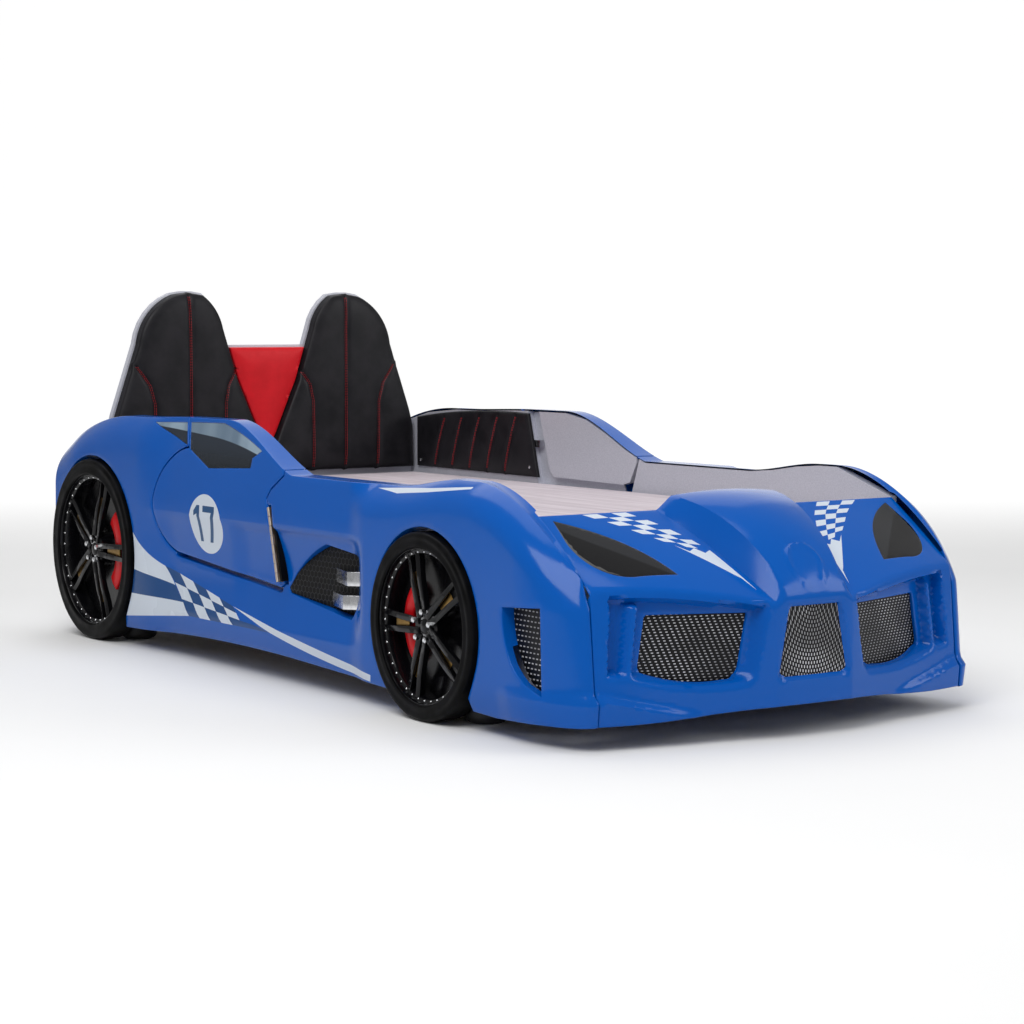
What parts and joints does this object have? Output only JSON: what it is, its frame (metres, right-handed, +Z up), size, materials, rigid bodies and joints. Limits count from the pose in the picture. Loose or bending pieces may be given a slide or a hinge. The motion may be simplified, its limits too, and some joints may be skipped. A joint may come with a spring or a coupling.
{
  "type": "car bed for children",
  "caption": "Children's single bed shaped like an open racing car, with opening side doors, seat-shaped headboard, wheels and mattress.",
  "frame": {"origin": "on the floor, at the middle of the bed's length and width", "axes": "+Z up, -Y towards the nose of the car, +X towards the car's left side"},
  "size_m": [1.094, 2.414, 0.8844],
  "materials": {
    "body_blue": "gloss",
    "board_silver": "silver-grey melamine",
    "window_tint": "tinted, banded silver",
    "black_leather": "padded, red stitching",
    "red_leather": "padded",
    "brass": "rolled",
    "black_mesh": "perforated",
    "chrome": "bright",
    "lamp_smoke": "smoked",
    "tyre_black": "satin",
    "rim_black": "gloss",
    "caliper_red": "gloss",
    "mattress_cover": "woven",
    "pine": "planed",
    "foot_black": "moulded"
  },
  "bodies": {
    "bed": {"right_side_shell": "body_blue", "left_side_shell": "body_blue", "right_side_board": "board_silver", "left_side_board": "board_silver", "right_quarter_window": "window_tint", "left_quarter_window": "window_tint", "right_side_pad": "black_leather", "left_side_pad": "black_leather", "right_hinge_body_leaf": "brass", "left_hinge_body_leaf": "brass", "right_hinge_pin": "brass", "left_hinge_pin": "brass", "right_side_vent": "black_mesh", "left_side_vent": "black_mesh", "right_vent_outlets": "chrome", "left_vent_outlets": "chrome", "right_corner_vent": "black_mesh", "left_corner_vent": "black_mesh", "right_headlight": "lamp_smoke", "left_headlight": "lamp_smoke", "right_grille": "black_mesh", "left_grille": "black_mesh", "right_rear_tyre": "tyre_black", "left_rear_tyre": "tyre_black", "right_rear_rim": "rim_black", "left_rear_rim": "rim_black", "right_rear_caliper": "caliper_red", "left_rear_caliper": "caliper_red", "right_front_tyre": "tyre_black", "left_front_tyre": "tyre_black", "right_front_rim": "rim_black", "left_front_rim": "rim_black", "right_front_caliper": "caliper_red", "left_front_caliper": "caliper_red", "right_seat_pad": "black_leather", "left_seat_pad": "black_leather", "right_bed_rail": "pine", "left_bed_rail": "pine", "door_catches": "chrome", "front_shell": "body_blue", "centre_grille": "black_mesh", "front_board": "board_silver", "wheel_nuts": "chrome", "headboard": "board_silver", "centre_pad": "red_leather", "mattress": "mattress_cover", "slats": "pine", "cross_beams": "pine", "feet": "foot_black", "tail_board": "board_silver", "rear_deck": "board_silver"},
    "right_door": {"right_door_shell": "body_blue", "right_door_board": "board_silver", "right_door_window": "window_tint", "right_hinge_door_leaf": "brass"},
    "left_door": {"left_door_shell": "body_blue", "left_door_board": "board_silver", "left_door_window": "window_tint", "left_hinge_door_leaf": "brass"}
  },
  "joints": [
    {"name": "right_door_hinge", "type": "hinge", "parent": "bed", "child": "right_door", "pos_m": [-0.526, 0.046, 0.392], "axis": [0, 0.2411, 0.9705], "range_deg": [0, 75]},
    {"name": "left_door_hinge", "type": "hinge", "parent": "bed", "child": "left_door", "pos_m": [0.526, 0.046, 0.392], "axis": [0, -0.2411, -0.9705], "range_deg": [0, 75]}
  ]
}
